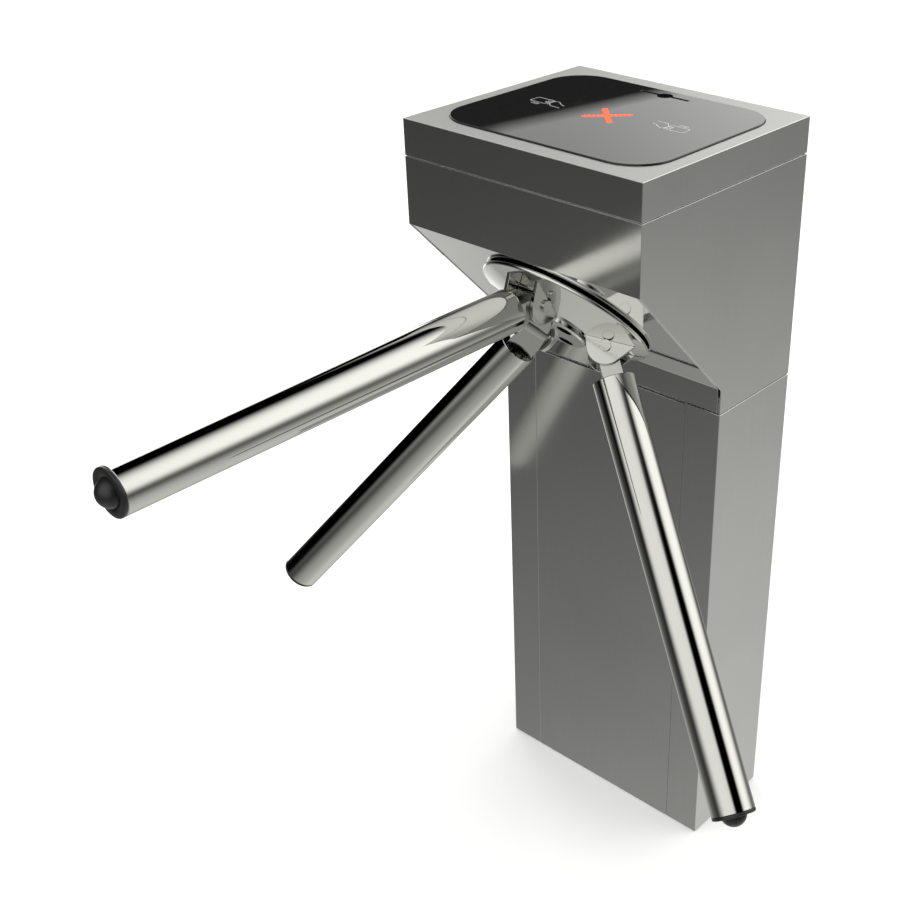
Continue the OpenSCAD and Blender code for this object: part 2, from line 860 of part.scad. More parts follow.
module lug_outline() {
    c = [pin_out, pin_h];
    left = [boss_r - boss_edge, cone_h];
    right = [pin_out + foot_out, rim_top + 1];
    circle_pt_l = touch(left, c, lug_r, -1);
    circle_pt_r = touch(right, c, lug_r, 1);
    translate(c) circle(lug_r);
    polygon([left, circle_pt_l, c, circle_pt_r, right, [right[0], disc_back + 1], [left[0], disc_back + 1]]);
}

module arm_lugs() {
    color("white") on_hub() difference() {
        for (i = [0 : 2], s = [-1, 1]) rotate([0, 0, 120 * i])
            translate([0, s * (lug_gap + lug_t / 2) + lug_t / 2, 0]) rotate([90, 0, 0])
                linear_extrude(lug_t) lug_outline();
        hub_form();
        for (i = [0 : 2]) rotate([0, 0, 120 * i]) translate([pin_out, 0, pin_h]) rotate([90, 0, 0])
            cylinder(r = pin_r + fit, h = 3 * lug_edge, center = true);
    }
}

module arm_pins() {
    color("white") on_hub() for (i = [0 : 2]) rotate([0, 0, 120 * i])
        translate([pin_out, 0, pin_h]) rotate([90, 0, 0]) {
            cylinder(r = pin_r, h = 2 * lug_edge, center = true);
            for (s = [-1, 1]) translate([0, 0, s > 0 ? lug_edge : -lug_edge - head_t])
                cylinder(r = head_r, h = head_t);
        }
}

// Tongue on the hinge pin, whose end is limited by the tube's bore, and a plug
module arm_root(i) {
    block_end = tube_start + root_step;
    color("silver") arm_frame(i) difference() {
        union() {
            rotate([90, 0, 0]) cylinder(r = tongue_r, h = 2 * tongue_half, center = true);
            span([-tongue_thick, -tongue_half, 0], [tongue_thick, tongue_half, tube_start - seat]);
            intersection() {
                span([-tongue_thick, -tongue_half, 0], [tongue_thick, tongue_half, block_end]);
                cylinder(r = plug_r, h = block_end);
            }
            translate([0, 0, block_end]) cylinder(r = plug_r, h = root_plug_l);
        }
        rotate([90, 0, 0]) cylinder(r = pin_r + run, h = 3 * lug_edge, center = true);
    }
}
module arm_1_root() { arm_root(1); }
module arm_2_root() { arm_root(2); }
module arm_3_root() { arm_root(3); }

module arm_tube(i) {
    color("white") arm_frame(i) difference() {
        translate([0, 0, tube_start]) cylinder(r = arm_r, h = tube_end - tube_start);
        translate([0, 0, tube_start - cut])
            cylinder(r = arm_r - arm_wall, h = tube_end - tube_start + 2 * cut);
    }
}
module arm_1_tube() { arm_tube(1); }
module arm_2_tube() { arm_tube(2); }
module arm_3_tube() { arm_tube(3); }

module arm_cap(i) {
    dome = (cap_dome_r * cap_dome_r + cap_dome_h * cap_dome_h) / (2 * cap_dome_h);
    color("black") arm_frame(i) translate([0, 0, tube_end]) {
        translate([0, 0, -cap_plug_l]) cylinder(r = plug_r, h = cap_plug_l);
        cylinder(r = arm_r, h = cap_rim);
        intersection() {
            translate([0, 0, cap_rim + cap_dome_h - dome]) sphere(dome);
            cylinder(r = cap_dome_r + cut, h = cap_rim + cap_dome_h + cut);
        }
    }
}
module arm_1_cap() { arm_cap(1); }
module arm_2_cap() { arm_cap(2); }
module arm_3_cap() { arm_cap(3); }

lid_cover();
reader_glass();
glass_gasket();
lid_tray();
cross_light();
display_board();
entry_reader_board();
exit_reader_board();
card_chute();
card_flap();
flap_servo();
card_bin();
head_casing();
slope_plate();
neck_frame();
pedestal_casing();
front_panel();
base_plate();
cable_grommet();
power_supply();
control_board();
front_mech_plate();
rear_mech_plate();
plate_posts();
front_housing();
rear_housing();
front_bearing();
rear_bearing();
index_block();
index_spring();
pawl_pivots();
entry_solenoid();
exit_solenoid();
entry_pawl();
exit_pawl();
entry_plunger();
exit_plunger();
damper();
damper_pinion();
encoder_sensor();
hub_disc();
hub_screws();
spindle();
index_wheel();
lock_wheel();
spindle_gear();
encoder_disc();
arm_lugs();
arm_pins();
arm_1_root();
arm_2_root();
arm_3_root();
arm_1_tube();
arm_2_tube();
arm_3_tube();
arm_1_cap();
arm_2_cap();
arm_3_cap();
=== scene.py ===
"""Visitor counter turnstile: finishes, fine pieces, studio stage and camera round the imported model."""

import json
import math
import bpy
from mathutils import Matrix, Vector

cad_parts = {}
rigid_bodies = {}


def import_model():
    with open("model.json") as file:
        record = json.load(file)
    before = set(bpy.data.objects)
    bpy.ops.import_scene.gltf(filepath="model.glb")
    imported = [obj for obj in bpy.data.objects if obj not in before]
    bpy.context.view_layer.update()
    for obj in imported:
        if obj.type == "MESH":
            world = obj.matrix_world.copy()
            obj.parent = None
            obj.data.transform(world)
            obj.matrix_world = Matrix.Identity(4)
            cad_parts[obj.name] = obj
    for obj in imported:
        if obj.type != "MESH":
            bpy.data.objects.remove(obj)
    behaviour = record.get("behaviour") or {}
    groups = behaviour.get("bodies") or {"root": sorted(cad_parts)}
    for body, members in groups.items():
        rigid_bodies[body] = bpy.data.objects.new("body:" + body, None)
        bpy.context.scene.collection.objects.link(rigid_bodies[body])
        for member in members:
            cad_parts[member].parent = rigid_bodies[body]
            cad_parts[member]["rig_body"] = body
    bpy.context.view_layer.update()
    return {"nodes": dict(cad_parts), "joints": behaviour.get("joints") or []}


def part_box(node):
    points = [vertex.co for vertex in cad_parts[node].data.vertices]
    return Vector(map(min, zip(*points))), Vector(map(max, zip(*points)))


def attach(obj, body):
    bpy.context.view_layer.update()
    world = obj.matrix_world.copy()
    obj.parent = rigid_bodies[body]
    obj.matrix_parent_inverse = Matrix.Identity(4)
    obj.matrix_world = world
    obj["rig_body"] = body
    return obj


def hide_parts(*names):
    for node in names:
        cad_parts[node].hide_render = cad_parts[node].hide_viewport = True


bl_info = {
    "name": "Visitor turnstile",
    "version": (1, 0, 0),
    "blender": (4, 5, 0),
    "location": "3D View > Sidebar > Turnstile",
    "description": "Finishes and fine pieces of a tripod turnstile",
    "category": "Object",
}

import bmesh
import bpy
from mathutils import Matrix, Vector

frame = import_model()
JOINTS = {j["name"]: j for j in frame["joints"]}
Z_AXIS = Vector((0, 0, 1))
ACROSS, UP = 0, 2
MM = 0.001


# ---- Sizes and colours a user may change --------------------------------


def length(label, about, value):
    return bpy.props.FloatProperty(
        name=label, description=about, default=value, unit="LENGTH", precision=5
    )


def angle(label, about, degrees):
    return bpy.props.FloatProperty(
        name=label, description=about, default=math.radians(degrees), subtype="ANGLE"
    )


def number(label, about, value):
    return bpy.props.FloatProperty(name=label, description=about, default=value)


def colour(label, about, value):
    return bpy.props.FloatVectorProperty(
        name=label, description=about, default=value, subtype="COLOR", size=3, min=0, max=1
    )


class CasingSettings(bpy.types.PropertyGroup):
    edge: length("Edge", "Rounding of the folded sheet's edges", 0.0007)
    head_edge: length("Head edge", "Rounding of the head casing's edges", 0.00119)
    panel_edge: length("Panel edge", "Rounding of the front panel's edges", 0.000245)
    slope_gloss: number("Slope roughness", "Roughness of the slanted plate's polish", 0.05)
    seam: length("Seam", "How far the front panel closes on the frame beside it", 0.0004)
    shadow_gap: length("Shadow gap", "Open gap over the front panel and beside the slanted plate", 0.0022)
    steel: colour("Steel", "Colour of the casing's stainless steel", (0.76, 0.76, 0.75))
    gloss: number("Roughness", "Roughness of the casing's upright faces", 0.12)
    top_gloss: number("Top roughness", "Roughness of the lid's top face", 0.45)


class ReaderSettings(bpy.types.PropertyGroup):
    edge: length("Edge", "Rounding of the glass's edge", 0.0007)
    glass: colour("Glass", "Colour printed behind the glass", (0.012, 0.012, 0.0125))
    lamp: colour("Cross", "Colour of the lit cross", (1.0, 0.085, 0.03))
    lamp_power: number("Cross power", "Emission strength of the lit dots", 2.2)
    dot_pitch: length("Dot pitch", "Distance between the lamp's dots", 0.0036)
    dots: bpy.props.IntProperty(name="Dots", description="Dots along each side of the lamp", default=12)
    line: length("Line", "Width of the printed outlines", 0.00045)


class HubSettings(bpy.types.PropertyGroup):
    edge: length("Edge", "Rounding of the hub's edges", 0.0006)
    chrome: colour("Chrome", "Colour of the polished hub", (0.74, 0.74, 0.715))
    gloss: number("Roughness", "Roughness of the hub's polish", 0.05)
    screw_edge: length("Screw edge", "Rounding of the hub screws' edges", 0.0004)
    lug_gloss: number("Lug roughness", "Roughness of the lugs and pins", 0.085)


class ArmSettings(bpy.types.PropertyGroup):
    tilt: angle("Arm angle", "Angle between an arm and the hub's axis", 42.8)
    start: length("Tube start", "Distance from the hinge pin to the tube", 0.036)
    end: length("Tube end", "Distance from the hinge pin to the cap", 0.5455)
    radius: length("Tube radius", "Outer radius of the tube", 0.0254)
    wall: length("Tube wall", "Wall of the tube", 0.0015)
    steel: colour("Steel", "Colour of the polished tube", (0.64, 0.64, 0.612))
    gloss: number("Roughness", "Roughness of the tube's polish", 0.05)
    root_edge: length("Root edge", "Rounding of the arm roots' edges", 0.0012)
    plastic: colour("Cap", "Colour of the end caps", (0.012, 0.012, 0.013))


class StageSettings(bpy.types.PropertyGroup):
    floor: colour("Floor", "Colour of the studio floor", (0.93, 0.93, 0.93))
    tone: colour("Tone", "Colour of the studio's light", (1.0, 1.0, 0.965))
    light: number("Light", "Brightness of the overhead light", 1.5)
    lens: bpy.props.FloatProperty(
        name="Lens", description="Focal length on a 36 mm sensor", default=56.475, unit="CAMERA"
    )
    azimuth: angle("Azimuth", "Camera's turn about the vertical", 39.926)
    elevation: angle("Elevation", "Camera's angle above the horizon", 30.008)
    roll: angle("Roll", "Camera's roll", 0.304)
    place: bpy.props.FloatVectorProperty(
        name="Place", description="Camera's place", unit="LENGTH", size=3,
        default=(1.000677, -1.317122, 1.459267),
    )
    shift: bpy.props.FloatVectorProperty(
        name="Shift", description="Camera's shift across and up, in frame widths", size=2,
        default=(-0.1476, 0.0179), precision=4,
    )


# ---- Shaders ------------------------------------------------------------


class Wire:
    """A number in a shader; sums and products of it become Math nodes."""

    def __init__(self, finish, socket):
        self.finish, self.socket = finish, socket

    def _math(self, operation, first, second):
        made = self.finish.node("ShaderNodeMath", {"operation": operation}, {0: first, 1: second})
        return Wire(self.finish, made.outputs[0])

    def __add__(self, other):
        return self._math("ADD", self, other)

    def __radd__(self, other):
        return self._math("ADD", other, self)

    def __sub__(self, other):
        return self._math("SUBTRACT", self, other)

    def __rsub__(self, other):
        return self._math("SUBTRACT", other, self)

    def __mul__(self, other):
        return self._math("MULTIPLY", self, other)

    def __rmul__(self, other):
        return self._math("MULTIPLY", other, self)


class Shading:
    """A shader tree being built, of a material or of the studio's surroundings."""

    def __init__(self, tree, shader):
        self.tree, self.shader = tree, shader

    def node(self, kind, settings=None, inputs=None):
        made = self.tree.nodes.new(kind)
        for key, value in (settings or {}).items():
            setattr(made, key, value)
        for key, value in (inputs or {}).items():
            self.join(made.inputs[key], value)
        return made

    def join(self, socket, value):
        if isinstance(value, Wire):
            value = value.socket
        if isinstance(value, bpy.types.NodeSocket):
            self.tree.links.new(value, socket)
        else:
            socket.default_value = value

    def feed(self, **sockets):
        for key, value in sockets.items():
            self.join(self.shader.inputs[key], value)
        return self

    def ramp(self, value, low, high, way="LINEAR"):
        """0 at low, 1 at high and beyond it."""
        made = self.node(
            "ShaderNodeMapRange", {"interpolation_type": way}, {0: value, 1: low, 2: high, 3: 0.0, 4: 1.0}
        )
        return Wire(self, made.outputs[0])


class Finish(Shading):
    """A material being built: one Principled shader and the nodes that feed it."""

    def __init__(self, name, base, metallic, roughness, **sockets):
        self.material = bpy.data.materials.new(name)
        self.material.use_nodes = True
        tree = self.material.node_tree
        super().__init__(tree, tree.nodes["Principled BSDF"])
        self.feed(**{"Base Color": (*base, 1), "Metallic": metallic, "Roughness": roughness, **sockets})
        self.material.diffuse_color = (*base, 1)

    def place(self, scale=(1, 1, 1)):
        coords = self.node("ShaderNodeTexCoord").outputs["Object"]
        return self.node("ShaderNodeMapping", {}, {"Vector": coords, "Scale": scale}).outputs[0]

    def noise(self, scale, stretch=(1, 1, 1), detail=3.0, roughness=0.5):
        made = self.node(
            "ShaderNodeTexNoise", {},
            {"Vector": self.place(stretch), "Scale": scale, "Detail": detail, "Roughness": roughness},
        )
        return Wire(self, made.outputs[0])

    def shade(self, mask, dark, light):
        """Base colour that runs from dark to light over a mask."""
        mixed = self.node(
            "ShaderNodeMix", {"data_type": "RGBA"}, {0: mask, 6: (*dark, 1), 7: (*light, 1)}
        ).outputs[2]
        return self.feed(**{"Base Color": mixed})

    def bump(self, height, depth, strength=1.0):
        bumped = self.node("ShaderNodeBump", {}, {"Strength": strength, "Distance": depth, "Height": height})
        return self.feed(Normal=bumped.outputs[0])


def toward(azimuth, elevation):
    """Unit vector at degrees right of +Y and above the horizon."""
    a, e = math.radians(azimuth), math.radians(elevation)
    return (math.sin(a) * math.cos(e), math.cos(a) * math.cos(e), math.sin(e))


class Surroundings(Shading):
    """The studio that polished steel mirrors, as soft zones on a far sphere."""

    def __init__(self, name):
        self.world = bpy.data.worlds.new(name)
        self.world.use_nodes = True
        tree = self.world.node_tree
        super().__init__(tree, tree.nodes["Background"])
        self.way = self.node("ShaderNodeTexCoord").outputs["Generated"]

    def along(self, direction):
        made = self.node("ShaderNodeVectorMath", {"operation": "DOT_PRODUCT"}, {0: self.way, 1: direction})
        return Wire(self, made.outputs["Value"])

    def zone(self, azimuth, elevation, outer, inner):
        """1 within inner degrees of a direction, fading to 0 at outer degrees."""
        low, high = (math.cos(math.radians(d)) for d in (outer, inner))
        return self.ramp(self.along(toward(azimuth, elevation)), low, high, "SMOOTHSTEP")

    def right_of(self, azimuth, soft=1.0, tilt=0.0):
        """1 right of an upright edge, which may lean; soft is its width in degrees."""
        a, half = math.radians(azimuth), math.sin(math.radians(soft) / 2)
        return self.ramp(self.along((math.cos(a), -math.sin(a), tilt)), -half, half, "SMOOTHSTEP")

    def above(self, low, high):
        """0 below the elevation low, 1 above high, in degrees."""
        low, high = (math.sin(math.radians(d)) for d in (low, high))
        return self.ramp(self.along((0, 0, 1)), low, high, "SMOOTHSTEP")


def tint(base, share):
    return tuple(min(1.0, c * share) for c in base)


def polished_sheet(name, steel, gloss, grain=(1, 1, 0.01)):
    """Stainless sheet, finely ground along one direction and then polished."""
    f = Finish(name, steel, 1.0, gloss)
    lines = f.noise(1400, grain, 2.0)
    cloud = f.noise(5, detail=4.0)
    smears = f.ramp(f.noise(14, (1, 1, 0.35), 5.0, 0.6), 0.5, 0.72)
    f.shade(f.ramp(cloud * 0.7 + lines * 0.3, 0.35, 0.65), tint(steel, 0.955), tint(steel, 1.03))
    f.feed(Roughness=gloss + (lines - 0.5) * 0.05 + cloud * 0.03 + smears * 0.03)
    f.bump(lines, 0.00001, 0.35)
    return f.material


def satin_sheet(name, steel, gloss):
    """Bead-blasted stainless sheet."""
    f = Finish(name, steel, 1.0, gloss)
    grain = f.noise(2600, detail=2.0)
    cloud = f.noise(6, detail=4.0)
    f.shade(f.ramp(cloud * 0.6 + grain * 0.4, 0.35, 0.65), tint(steel, 0.97), tint(steel, 1.03))
    f.feed(Roughness=gloss + (grain - 0.5) * 0.08 + (cloud - 0.5) * 0.06)
    f.bump(grain, 0.00001, 0.4)
    return f.material


def mirror_steel(name, steel, gloss, wear=0.02):
    """Polished steel with hairlines and a few wiped marks."""
    f = Finish(name, steel, 1.0, gloss)
    hairs = f.ramp(f.noise(260, (1, 0.04, 1), 2.0), 0.62, 0.7)
    cloud = f.noise(9, detail=5.0, roughness=0.6)
    f.shade(cloud, tint(steel, 0.97), tint(steel, 1.02))
    f.feed(Roughness=gloss + hairs * wear + f.ramp(cloud, 0.52, 0.75) * wear)
    f.bump(f.noise(35, detail=1.0), 0.00002, 0.2)
    return f.material


def moulded(name, base, gloss=0.4, grain=900):
    """Injection-moulded plastic with a fine spark-eroded grain."""
    f = Finish(name, base, 0.0, gloss)
    fine = f.noise(grain, detail=2.0)
    dust = f.ramp(f.noise(40, detail=6.0, roughness=0.65), 0.6, 0.85)
    f.shade(dust, base, tuple(c + 0.012 for c in base))
    f.feed(Roughness=gloss + (fine - 0.5) * 0.12 + dust * 0.1)
    f.bump(fine, 0.00004, 0.3)
    return f.material


def coated(name, base, metallic, gloss, speckle=0.12):
    """Plated, cast or painted metal of the inner pieces."""
    f = Finish(name, base, metallic, gloss)
    spangle = f.node("ShaderNodeTexVoronoi", {}, {"Vector": f.place(), "Scale": 160.0}).outputs[0]
    cloud = f.noise(18, detail=5.0)
    f.shade(Wire(f, spangle) * 0.5 + cloud * 0.5, tint(base, 1 - speckle), tint(base, 1 + speckle))
    f.feed(Roughness=gloss + (cloud - 0.5) * 0.15)
    f.bump(cloud, 0.00005, 0.3)
    return f.material


def circuit_mask(name):
    """Solder mask with tracks under it."""
    f = Finish(name, (0.02, 0.12, 0.05), 0.0, 0.35)
    tracks = f.node(
        "ShaderNodeTexBrick", {}, {"Vector": f.place(), "Scale": 160.0, "Mortar Size": 0.03}
    ).outputs[1]
    cloud = f.noise(60)
    f.shade(Wire(f, tracks) * 0.7 + cloud * 0.2, (0.015, 0.10, 0.04), (0.04, 0.22, 0.09))
    f.feed(Roughness=0.3 + cloud * 0.15)
    f.bump(tracks, 0.00005, 0.4)
    return f.material


def smoked_glass(name, base):
    """Tempered glass, printed black behind, with faint finger marks."""
    f = Finish(name, base, 0.0, 0.02, **{"IOR": 1.52, "Coat Weight": 0.25, "Coat Roughness": 0.01})
    marks = f.ramp(f.noise(22, detail=6.0, roughness=0.62), 0.52, 0.78)
    specks = f.ramp(f.noise(700, detail=1.0), 0.71, 0.76)
    f.shade(specks, base, tuple(c + 0.05 for c in base))
    f.feed(Roughness=0.012 + marks * 0.02)
    return f.material


def glowing(name, base, power):
    """Lit plastic, brighter in the middle of the lamp's cells."""
    f = Finish(name, base, 0.0, 0.4, **{"Emission Strength": power})
    cells = f.noise(500, detail=1.0)
    lit = f.node(
        "ShaderNodeMix", {"data_type": "RGBA"}, {0: cells, 6: (*tint(base, 0.8), 1), 7: (*base, 1)}
    ).outputs[2]
    f.feed(**{"Emission Color": lit})
    return f.material


def printed(name):
    """Screen-printed ink with a faint painted glow: it emits a little light, though it is no lamp, to stay
    legible on the glass.
    """
    pale = (0.8, 0.8, 0.8)
    # The ink's emission is a painted glow, not a lamp
    f = Finish(name, pale, 0.0, 0.5, **{"Emission Color": (*pale, 1), "Emission Strength": 0.25})
    f.shade(f.noise(900), (0.68, 0.68, 0.68), (0.85, 0.85, 0.85))
    return f.material


# ---- Mesh helpers -------------------------------------------------------


def add_piece(name, mesh, body, slot, *finishes):
    """Puts a finished mesh in the scene, riding on a body."""
    piece = bpy.data.objects.new(name, mesh)
    bpy.context.scene.collection.objects.link(piece)
    mesh.materials.clear()
    for finish in finishes:
        mesh.materials.append(finish)
    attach(piece, body)
    return piece


def body_of_node(node):
    return frame["nodes"][node]["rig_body"]


def flattened(piece):
    """The piece with its modifiers applied, as one plain mesh."""
    evaluated = piece.evaluated_get(bpy.context.evaluated_depsgraph_get())
    mesh = bpy.data.meshes.new_from_object(evaluated)
    name = piece.name
    bpy.data.objects.remove(piece)
    mesh.name = name
    return mesh


def eased_mesh(name, mesh, edge, segments=2):
    """Rounds the sharp edges of a closed mesh and keeps its flats flat."""
    piece = bpy.data.objects.new(name, mesh)
    bpy.context.scene.collection.objects.link(piece)
    mesh.shade_smooth()
    bevel = piece.modifiers.new("edge", "BEVEL")
    bevel.width, bevel.segments = edge, segments
    bevel.limit_method, bevel.angle_limit = "ANGLE", math.radians(35)
    bevel.use_clamp_overlap = True
    weigh = piece.modifiers.new("flats", "WEIGHTED_NORMAL")
    weigh.weight = 80
    return flattened(piece)


# Corners this near to a piece's side count as lying on it, in metres
OUTERMOST = 0.0006
# Faces whose normal rises at least this much face up
FACES_UP = 0.95


def eased_copy(node, edge, finish, slot, segments=2, top=None, shift=()):
    """A copy of a CAD piece with eased edges, which stands for it; top finishes what faces up.

    Each shift is (axis, side, distance): it moves the corners that lie on one side of the piece.
    """
    work = bmesh.new()
    work.from_mesh(frame["nodes"][node].data)
    low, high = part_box(node)
    for axis, side, distance in shift:
        limit = high[axis] - OUTERMOST if side > 0 else low[axis] + OUTERMOST
        for vert in work.verts:
            if (vert.co[axis] - limit) * side > 0:
                vert.co[axis] += distance
    bmesh.ops.remove_doubles(work, verts=work.verts, dist=2e-6)
    bmesh.ops.dissolve_limit(
        work, angle_limit=math.radians(0.8), use_dissolve_boundaries=False, verts=work.verts, edges=work.edges
    )
    mesh = bpy.data.meshes.new(node + "_eased")
    work.to_mesh(mesh)
    work.free()
    if "custom_normal" in mesh.attributes:
        mesh.attributes.remove(mesh.attributes["custom_normal"])
    mesh = eased_mesh(node + "_eased", mesh, edge, segments)
    piece = add_piece(node + "_eased", mesh, body_of_node(node), slot, finish, *([top] if top else []))
    for face in mesh.polygons if top else ():
        face.material_index = int(face.normal.z > FACES_UP)
    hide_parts(node)
    return piece


def lathe(profile, matrix, steps=96):
    """Turns a list of (radius, height) points about the matrix's Z axis."""
    work = bmesh.new()
    rings = []
    for radius, height in profile:
        if radius < 1e-7:
            rings.append([work.verts.new(matrix @ Vector((0, 0, height)))])
            continue
        turn = [2 * math.pi * k / steps for k in range(steps)]
        ring = [Vector((radius * math.cos(a), radius * math.sin(a), height)) for a in turn]
        rings.append([work.verts.new(matrix @ corner) for corner in ring])
    closed = len(rings[0]) > 1
    for low, high in zip(rings, rings[1:] + rings[:1] if closed else rings[1:]):
        for k in range(steps):
            after = k + 1
            corners = [low[k % len(low)], low[after % len(low)], high[after % len(high)], high[k % len(high)]]
            work.faces.new(list(dict.fromkeys(corners)))
    bmesh.ops.recalc_face_normals(work, faces=work.faces)
    return work


def as_mesh(work, name, smooth_below=35):
    """Ends a bmesh as a mesh, smooth but for its sharp corners."""
    limit = math.radians(smooth_below)
    for edge in work.edges:
        edge.smooth = len(edge.link_faces) < 2 or edge.calc_face_angle(0) < limit
    for face in work.faces:
        face.smooth = True
    mesh = bpy.data.meshes.new(name)
    work.to_mesh(mesh)
    work.free()
    return mesh


def frame_matrix(origin, x, y, z):
    made = Matrix((x, y, z)).transposed().to_4x4()
    made.translation = origin
    return made


def arm_matrix(i, tilt):
    """Arm frame: +Z along the arm from its hinge pin, +Y along the pin."""
    joint = JOINTS[f"arm_{i}_drop"]
    pin = -Vector(joint["axis"]).normalized()
    out = Vector(JOINTS["hub_spin"]["axis"]).normalized()
    radial = pin.cross(out)
    along = radial * math.sin(tilt) + out * math.cos(tilt)
    return frame_matrix(Vector(joint["pos_m"]), pin.cross(along), pin, along)


# ---- Geometry node trees ------------------------------------------------


class NodeMaker:
    """A Geometry Nodes tree with named inputs."""

    def __init__(self, name, inputs):
        self.tree = bpy.data.node_groups.new(name, "GeometryNodeTree")
        for label, kind, value in inputs:
            made = self.tree.interface.new_socket(label, in_out="INPUT", socket_type=kind)
            if value is not None:
                made.default_value = value
        self.tree.interface.new_socket("Geometry", in_out="OUTPUT", socket_type="NodeSocketGeometry")
        self.source = self.tree.nodes.new("NodeGroupInput")

    def value(self, label):
        return self.source.outputs[label]

    def node(self, kind, settings=None, inputs=None):
        made = self.tree.nodes.new(kind)
        for key, value in (settings or {}).items():
            setattr(made, key, value)
        for key, value in (inputs or {}).items():
            if isinstance(value, bpy.types.NodeSocket):
                self.tree.links.new(value, made.inputs[key])
            else:
                made.inputs[key].default_value = value
        return made

    def math(self, operation, first, second=0.0):
        return self.node("ShaderNodeMath", {"operation": operation}, {0: first, 1: second}).outputs[0]

    def finish(self, geometry, material):
        """Ends the tree in plain geometry with its material."""
        real = self.node("GeometryNodeRealizeInstances", {}, {"Geometry": geometry})
        painted = self.node(
            "GeometryNodeSetMaterial", {}, {"Geometry": real.outputs[0], "Material": material}
        )
        out = self.tree.nodes.new("NodeGroupOutput")
        self.tree.links.new(painted.outputs[0], out.inputs[0])

    def build(self, name, **inputs):
        """Runs the tree once and gives its plain mesh."""
        piece = bpy.data.objects.new(name, bpy.data.meshes.new(name))
        bpy.context.scene.collection.objects.link(piece)
        modifier = piece.modifiers.new(name, "NODES")
        modifier.node_group = self.tree
        sockets = {s.name: s.identifier for s in self.tree.interface.items_tree if s.in_out == "INPUT"}
        for label, value in inputs.items():
            modifier[sockets[label]] = value
        return flattened(piece)


def placed(mesh, matrix):
    mesh.transform(matrix)
    mesh.update()
    return mesh


def tube_tree():
    """A straight tube with rounded lips, turned from its wall's section."""
    maker = NodeMaker(
        "Tube",
        [("Radius", "NodeSocketFloat", 0.025), ("Wall", "NodeSocketFloat", 0.0015),
         ("Start", "NodeSocketFloat", 0.0), ("End", "NodeSocketFloat", 0.5),
         ("Steps", "NodeSocketInt", 128), ("Finish", "NodeSocketMaterial", None)],
    )
    long = maker.math("SUBTRACT", maker.value("End"), maker.value("Start"))
    section = maker.node(
        "GeometryNodeCurvePrimitiveQuadrilateral", {"mode": "RECTANGLE"},
        {"Width": maker.value("Wall"), "Height": long},
    )
    lips = maker.node(
        "GeometryNodeFilletCurve", {},
        {"Curve": section.outputs[0], "Radius": maker.math("MULTIPLY", maker.value("Wall"), 0.42)},
    )
    for socket in lips.inputs:
        if socket.name == "Count":
            socket.default_value = 3
        if socket.name == "Mode" and socket.type == "MENU":
            socket.default_value = "Poly"
    half_wall = maker.math("MULTIPLY", maker.value("Wall"), 0.5)
    middle = maker.math("SUBTRACT", maker.value("Radius"), half_wall)
    circle = maker.node(
        "GeometryNodeCurvePrimitiveCircle", {"mode": "RADIUS"},
        {"Resolution": maker.value("Steps"), "Radius": middle},
    )
    swept = maker.node(
        "GeometryNodeCurveToMesh", {}, {"Curve": circle.outputs[0], "Profile Curve": lips.outputs[0]}
    )
    lift = maker.node(
        "ShaderNodeCombineXYZ", {},
        {"Z": maker.math("ADD", maker.value("Start"), maker.math("MULTIPLY", long, 0.5))},
    )
    moved = maker.node(
        "GeometryNodeTransform", {}, {"Geometry": swept.outputs[0], "Translation": lift.outputs[0]}
    )
    maker.finish(moved.outputs[0], maker.value("Finish"))
    return maker


# A lamp dot's radius as a share of the pitch, and its height as a share of its radius
DOT_RADIUS = 0.34
DOT_RISE = 0.22


def dot_tree():
    """Domed lamp dots on a square grid, kept where they lie on a cross."""
    maker = NodeMaker(
        "Lamp dots",
        [("Pitch", "NodeSocketFloat", 0.004), ("Across", "NodeSocketFloat", 0.04),
         ("Count", "NodeSocketInt", 12), ("Stroke", "NodeSocketFloat", 0.004),
         ("Finish", "NodeSocketMaterial", None)],
    )
    grid = maker.node(
        "GeometryNodeMeshGrid", {},
        {"Size X": maker.value("Across"), "Size Y": maker.value("Across"),
         "Vertices X": maker.value("Count"), "Vertices Y": maker.value("Count")},
    )
    points = maker.node("GeometryNodeMeshToPoints", {}, {"Mesh": grid.outputs[0]})
    where = maker.node("ShaderNodeSeparateXYZ", {}, {0: maker.node("GeometryNodeInputPosition").outputs[0]})
    off = maker.math(
        "ABSOLUTE",
        maker.math(
            "SUBTRACT", maker.math("ABSOLUTE", where.outputs[0]), maker.math("ABSOLUTE", where.outputs[1])
        ),
    )
    outside = maker.math("GREATER_THAN", off, maker.value("Stroke"))
    kept = maker.node(
        "GeometryNodeDeleteGeometry", {"domain": "POINT"},
        {"Geometry": points.outputs[0], "Selection": outside},
    )
    size = maker.math("MULTIPLY", maker.value("Pitch"), DOT_RADIUS)
    dome = maker.node("GeometryNodeMeshUVSphere", {}, {"Segments": 12, "Rings": 6, "Radius": size})
    flat = maker.node(
        "GeometryNodeTransform", {}, {"Geometry": dome.outputs[0], "Scale": (1.0, 1.0, DOT_RISE)}
    )
    dots = maker.node(
        "GeometryNodeInstanceOnPoints", {}, {"Points": kept.outputs[0], "Instance": flat.outputs[0]}
    )
    maker.finish(dots.outputs[0], maker.value("Finish"))
    return maker


# ---- Pieces -------------------------------------------------------------


